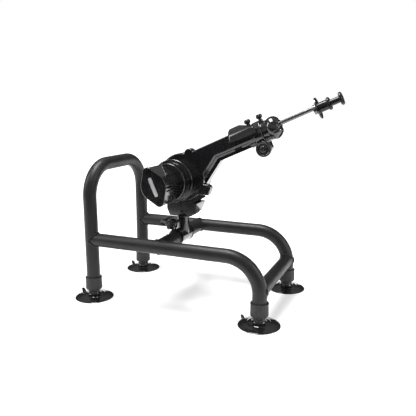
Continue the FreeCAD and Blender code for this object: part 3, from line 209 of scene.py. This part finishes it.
def lathe(bm, profile, place, steps=72, shape=None):
    """A closed (radius, height) outline in mm turned about local Z; shape(radius, height, angle)
    may change the radius round the turn."""
    rings = []
    for radius, height in profile:
        if radius == 0:
            rings.append([bm.verts.new(place @ (Vector((0, 0, height)) * MM))])
            continue
        ring = []
        for step in range(steps):
            angle = 2 * math.pi * step / steps
            out = shape(radius, height, angle) if shape else radius
            ring.append(bm.verts.new(place @ (Vector((out * math.cos(angle), out * math.sin(angle),
                                                      height)) * MM)))
        rings.append(ring)
    for first, second in zip(rings, rings[1:] + rings[:1]):
        for step in range(steps):
            after = (step + 1) % steps
            if len(first) == len(second) == 1:
                break
            if len(first) == 1:
                bm.faces.new((first[0], second[step], second[after]))
            elif len(second) == 1:
                bm.faces.new((first[step], second[0], first[after]))
            else:
                bm.faces.new((first[step], second[step], second[after], first[after]))


def sweep(bm, centres, radius_at, sides=12):
    """A closed loop of rings round the given path, in mm."""
    count = len(centres)
    rings = []
    side = Vector()
    for index, centre in enumerate(centres):
        ahead = (centres[(index + 1) % count] - centres[index - 1]).normalized()
        side = side - side.project(ahead) if rings else ahead.orthogonal()
        side = side.normalized()
        other = ahead.cross(side)
        ring = []
        for k in range(sides):
            angle = 2 * math.pi * k / sides
            out = (side * math.cos(angle) + other * math.sin(angle)) * radius_at(index)
            ring.append(bm.verts.new((centre + out) * MM))
        rings.append(ring)
    for index in range(count):
        first, second = rings[index], rings[(index + 1) % count]
        for k in range(sides):
            bm.faces.new((first[k], second[k], second[(k + 1) % sides], first[(k + 1) % sides]))


CUP_PROFILE = [(5.0, 7.0), (5.0, 18.0), (12.4, 18.0), (13.5, 17.6), (14.0, 16.8), (14.3, 14.9),
               (13.9, 14.5), (13.9, 13.9), (14.6, 13.5), (15.4, 11.4), (16.6, 10.0), (18.4, 9.1),
               (21.0, 8.35), (24.0, 7.6), (24.5, 7.85), (25.5, 7.6), (26.0, 7.05), (30.0, 6.05),
               (35.0, 4.5), (40.0, 2.85), (43.2, 1.8), (43.8, 2.0), (45.0, 1.6), (46.2, 0.9),
               (46.5, 0.35), (46.3, 0.0), (39.4, 0.0), (38.0, 0.5), (30.0, 2.9), (20.0, 5.2),
               (12.0, 6.4)]
CAP_PROFILE = [(5.0, 21.5), (15.0, 21.5), (17.6, 21.7), (19.1, 22.5), (19.8, 23.8), (20.0, 25.4),
               (19.95, 27.4), (19.7, 27.7), (19.7, 28.1), (19.9, 28.4), (19.8, 31.4), (19.55, 31.7),
               (19.55, 32.1), (19.75, 32.4), (19.35, 47.8), (19.3, 48.4), (19.7, 48.7),
               (20.0, 49.3), (20.05, 50.8), (19.8, 51.6), (19.2, 52.0), (16.0, 52.0),
               (16.0, 27.5), (5.0, 27.5)]
TAB_ANGLE, TAB_LEAN = math.radians(162), math.radians(18)
TAB_HEIGHT, TAB_HALF_WIDTH, TAB_ROOT_R, TAB_ROOT_Z, TAB_STEPS = 10.5, 4.75, 43.6, 0.9, 8


def pull_tab(bm, place):
    """Thin rounded tongue on the cup's rim, leaning out."""
    rows = []
    for step in range(TAB_STEPS + 1):
        rise = TAB_HEIGHT * step / TAB_STEPS
        half = TAB_HALF_WIDTH
        if step >= 5:                                             # the rounded upper end
            half *= math.sqrt(max(0.02, 1 - ((step - 4) / 4.05) ** 2))
        thick = 1.5 - 0.5 * step / TAB_STEPS
        out = TAB_ROOT_R + rise * math.sin(TAB_LEAN) + 0.02 * rise ** 2 - 1.2
        corners = [(out - thick, -half * 0.8), (out - thick, half * 0.8), (out - thick * 0.5, half),
                   (out + thick * 0.5, half), (out + thick, half * 0.8), (out + thick, -half * 0.8),
                   (out + thick * 0.5, -half), (out - thick * 0.5, -half)]
        z = TAB_ROOT_Z + rise * math.cos(TAB_LEAN)
        rows.append([bm.verts.new(place @ (Vector((x, y, z)) * MM)) for x, y in corners])
    for first, second in zip(rows, rows[1:]):
        for k in range(8):
            bm.faces.new((first[k], second[k], second[(k + 1) % 8], first[(k + 1) % 8]))
    bm.faces.new(rows[0])
    bm.faces.new(rows[-1])


def feet():
    caps = bmesh.new()
    for corner, (x, y) in LEGS.items():
        cup = bmesh.new()
        lathe(cup, CUP_PROFILE, at_mm(x, y, 0), 96)
        pull_tab(cup, at_mm(x, y, 0) @ Matrix.Rotation(TAB_ANGLE, 4, "Z"))
        make_piece("cup_" + corner, cup, "cup_vinyl", "frame", "suction_cup_" + corner)
        lathe(caps, CAP_PROFILE, at_mm(x, y, 0), 72)
    make_piece("leg_caps", caps, "cap_rubber", "frame", "foot_caps")


BEAD_OUT, BEAD_R, BEAD_RIPPLE, BEAD_UNEVEN, BEAD_STEPS = 0.7, 1.9, 0.45, 0.1, 120
WELDS = (("rail", 0, RAIL_Z), ("mid", MID_TUBE_X, RAIL_Z), ("front", FRAME_LENGTH, FRONT_TUBE_Z))


def bead_path(kind, x0, y0, z0, inward):
    """Where two tubes of one radius meet, moved out by a little."""
    points = []
    out = TUBE_R + BEAD_OUT
    for step in range(BEAD_STEPS):
        angle = 2 * math.pi * step / BEAD_STEPS
        c, s = out * math.cos(angle), out * math.sin(angle)
        if kind == "rail":
            points.append(Vector((x0 + abs(s), y0 + c, z0 + s)))
        elif kind == "mid":
            points.append(Vector((x0 + c, y0 + inward * abs(c), z0 + s)))
        else:
            above = max(0.0, z0 + s - (RAIL_Z - LEG_BEND_R))
            shift = LEG_BEND_R - math.sqrt(LEG_BEND_R ** 2 - above ** 2)
            reach = math.sqrt(max(0.0, out ** 2 - (c + shift) ** 2))
            points.append(Vector((x0 + c, y0 + inward * reach, z0 + s)))
    return points


def bead_radius(index):
    ripple = BEAD_RIPPLE * abs(math.sin(index * math.pi / 3.0))
    return BEAD_R + ripple + BEAD_UNEVEN * math.sin(index * 1.7)


def welds():
    bm = bmesh.new()
    for side in (-1, 1):
        for kind, x, z in WELDS:
            sweep(bm, bead_path(kind, x, side * HALF_SPACING, z, -side), bead_radius)
    make_piece("weld_ripple", bm, "frame_paint", "frame", "weld_beads", sharp=60.0)


# Outlines (radius, height) and places in mm; heights run from the seat towards the near side.
ROUND_KNOB_PROFILE = [(4.0, 0.0), (15.4, 0.0), (17.2, 0.6), (17.9, 1.8), (18.0, 3.0), (18.0, 8.2),
                      (17.7, 9.4), (16.8, 10.5), (15.6, 11.0), (14.6, 10.8), (13.6, 9.9),
                      (12.8, 9.3), (11.4, 9.1), (7.6, 9.1), (6.9, 9.5), (6.2, 10.3), (5.2, 10.8),
                      (2.4, 10.9), (1.8, 10.3), (0, 10.2), (0, 9.1), (4.0, 9.1)]
ROUND_KNOB_AT = (215.5, -20.4, -13.0)                         # in the machine's own frame
STAR_KNOB_PROFILE = [(4.1, 0.0), (10.6, 0.0), (12.4, 0.5), (13.2, 1.6), (13.5, 3.2), (13.5, 8.8),
                     (13.1, 10.4), (12.0, 11.6), (10.4, 12.2), (8.0, 12.5), (6.6, 12.7),
                     (6.0, 13.2), (5.4, 13.8), (4.4, 14.0), (2.0, 14.0), (1.6, 13.5), (0, 13.4),
                     (0, 8.1), (4.1, 8.1)]
STAR_KNOB_AT = (MID_TUBE_X, -46.0, 184.5)
STAR_LOBES, STAR_HUB_R, STAR_VALLEY_R, STAR_DEPTH = 5, 8.5, 8.2, 0.62
SCREW_PROFILE = [(0, 0), (3.5, 0), (3.5, 1.6), (3.1, 2.2), (2.3, 2.2), (1.7, 2.2), (1.7, 0.9),
                 (0, 0.9)]
SCREW_AT = (192.6, -18.0, 211.4)
SOCKET_R = 2.2


def knurl(depth, teeth, from_radius):
    def shape(radius, height, angle):
        if radius < from_radius:
            return radius
        return radius - depth * (0.5 - 0.5 * math.cos(teeth * angle)) ** 2
    return shape


def star(radius, height, angle):
    if radius < STAR_HUB_R:
        return radius
    valley = 0.5 - 0.5 * math.cos(STAR_LOBES * (angle - math.pi / 2))
    return radius - (radius - STAR_VALLEY_R) * STAR_DEPTH * valley ** 1.6


def hexagon(radius, height, angle):
    """Makes the socket inside the screw's head six-sided."""
    if radius < SOCKET_R:
        return radius / math.cos((angle % (math.pi / 3)) - math.pi / 6)
    return radius


def knobs():
    bm = bmesh.new()
    place = head_mm(*ROUND_KNOB_AT) @ TOWARDS_NEAR
    lathe(bm, ROUND_KNOB_PROFILE, place, 144, knurl(0.55, 36, 17.0))
    make_piece("round_knob_moulding", bm, "knob_plastic", "round_knob", "round_knob")
    bm = bmesh.new()
    lathe(bm, STAR_KNOB_PROFILE, at_mm(*STAR_KNOB_AT) @ TOWARDS_NEAR, 120, star)
    make_piece("star_knob_moulding", bm, "knob_plastic", "star_knob", "star_knob")


def saddle_screw():
    bm = bmesh.new()
    lathe(bm, SCREW_PROFILE, at_mm(*SCREW_AT) @ TOWARDS_NEAR, 48, hexagon)
    make_piece("saddle_side_screw", bm, "plug_plastic", "frame")


feet()
welds()
knobs()
saddle_screw()


# ---- room, light and camera ----------------------------------------------------------------
VIEW_TURN = math.radians(22.712)
BACK_WAY = (-math.sin(VIEW_TURN), math.cos(VIEW_TURN), 0)      # level, from camera to object
PAPER_END, PAPER_FADE = -0.73, 0.1         # m along BACK_WAY from the origin; nearer is black, painted shade standing in for the unlit camera side of the room
PAINTED_GLOW_NEAR, PAINTED_GLOW_FAR = (0.45, 0.25), (1.2, 1.1)    # (m from the origin, strength of the painted glow: floor emission standing in for light)


def floor_finish():
    """White paper with a painted glow, emission standing in for light, that grows away from the object. Nearer
    the camera than PAPER_END the floor turns nearly black, outside the picture: painted shade standing in for the
    unlit camera side of the room, which darkens what the object reflects."""
    material = surface("floor_paper", grey(0.93), grey(0.95), (0.6, 0.7), 0.00001, 300.0)
    tree = material.node_tree
    place = tree.nodes.new("ShaderNodeTexCoord")
    length = tree.nodes.new("ShaderNodeVectorMath")
    length.operation = "LENGTH"
    tree.links.new(place.outputs["Object"], length.inputs[0])
    depth = tree.nodes.new("ShaderNodeVectorMath")
    depth.operation = "DOT_PRODUCT"
    depth.inputs[1].default_value = BACK_WAY
    tree.links.new(place.outputs["Object"], depth.inputs[0])
    # painted shade: the floor colour goes nearly black nearer the camera than PAPER_END, standing in for the unlit
    # camera side of the room in reflections
    paper = ramp(tree, depth.outputs["Value"], 0, 1, PAPER_END, PAPER_END + PAPER_FADE)
    shader = tree.nodes["Principled BSDF"]
    shade = tree.nodes.new("ShaderNodeMix")
    shade.data_type = "RGBA"
    shade.inputs["A"].default_value = (0.01, 0.01, 0.01, 1)
    tree.links.new(shader.inputs["Base Color"].links[0].from_socket, shade.inputs["B"])
    tree.links.new(paper, shade.inputs["Factor"])
    tree.links.new(shade.outputs["Result"], shader.inputs["Base Color"])
    # painted light: the floor emits a glow that grows with distance from the origin, standing in for studio light
    # on the far floor
    glow = tree.nodes.new("ShaderNodeMath")
    glow.operation = "MULTIPLY"
    tree.links.new(ramp(tree, length.outputs["Value"], PAINTED_GLOW_NEAR[1], PAINTED_GLOW_FAR[1], PAINTED_GLOW_NEAR[0],
                        PAINTED_GLOW_FAR[0]), glow.inputs[0])
    tree.links.new(paper, glow.inputs[1])
    shader.inputs["Emission Color"].default_value = (1, 1, 1, 1)
    tree.links.new(glow.outputs["Value"], shader.inputs["Emission Strength"])
    return material


def plain_floor():
    mesh = bpy.data.meshes.new("floor")
    half = 40.0
    corners = [(-half, -half, 0), (half, -half, 0), (half, half, 0), (-half, half, 0)]
    mesh.from_pydata(corners, [], [(0, 1, 2, 3)])
    floor = bpy.data.objects.new("floor", mesh)
    bpy.context.collection.objects.link(floor)
    mesh.materials.append(floor_finish())


def area_light(name, at, towards, size, power):
    lamp = bpy.data.lights.new(name, "AREA")
    lamp.shape = "RECTANGLE"
    lamp.size, lamp.size_y = size
    lamp.energy = power
    holder = bpy.data.objects.new(name, lamp)
    holder.location = at
    holder.rotation_euler = (Vector(towards) - Vector(at)).to_track_quat("-Z", "Y").to_euler()
    bpy.context.collection.objects.link(holder)


DIM, FRONT, CEILING = 0.04, 0.42, 0.36      # how bright the room is behind, before and above


def studio_world():
    """White where the camera sees it. As a light it is a bright room before and above the
    object and a dim one behind."""
    world = bpy.data.worlds.new("studio")
    bpy.context.scene.world = world
    world.use_nodes = True
    tree = world.node_tree
    place = tree.nodes.new("ShaderNodeTexCoord")
    facing = tree.nodes.new("ShaderNodeVectorMath")
    facing.operation = "DOT_PRODUCT"
    facing.inputs[1].default_value = BACK_WAY
    tree.links.new(place.outputs["Generated"], facing.inputs[0])
    height = tree.nodes.new("ShaderNodeSeparateXYZ")
    tree.links.new(place.outputs["Generated"], height.inputs["Vector"])
    brighter = tree.nodes.new("ShaderNodeMath")
    brighter.operation = "MAXIMUM"
    tree.links.new(ramp(tree, facing.outputs["Value"], FRONT, DIM, -0.75, -0.1),
                   brighter.inputs[0])
    tree.links.new(ramp(tree, height.outputs["Z"], DIM, CEILING, 0.3, 0.8), brighter.inputs[1])
    room = brighter.outputs["Value"]
    seen = tree.nodes.new("ShaderNodeLightPath").outputs["Is Camera Ray"]
    choose = tree.nodes.new("ShaderNodeMix")
    choose.inputs["B"].default_value = 1.0
    tree.links.new(seen, choose.inputs["Factor"])
    tree.links.new(room, choose.inputs["A"])
    tree.nodes["Background"].inputs["Color"].default_value = (1, 1, 1, 1)
    tree.links.new(choose.outputs["Result"], tree.nodes["Background"].inputs["Strength"])


def studio():
    studio_world()
    centre = (0.2, 0, 0.2)
    area_light("top_box", (0.0, -0.1, 1.7), centre, (0.8, 0.6), 32)
    area_light("left_box", (-1.3, -0.8, 1.2), centre, (0.6, 1.2), 14)
    area_light("right_box", (1.7, 0.1, 0.9), centre, (0.5, 1.2), 10)
    bpy.context.scene.view_settings.view_transform = "Standard"


def camera():
    lens = bpy.data.cameras.new("camera")
    lens.sensor_width = 36.0
    lens.lens = 42.89
    holder = bpy.data.objects.new("camera", lens)
    holder.location = (0.706, -1.079, 0.4695)
    holder.rotation_euler = (math.radians(78.0), 0, VIEW_TURN)
    bpy.context.collection.objects.link(holder)
    bpy.context.scene.camera = holder


plain_floor()
studio()
camera()
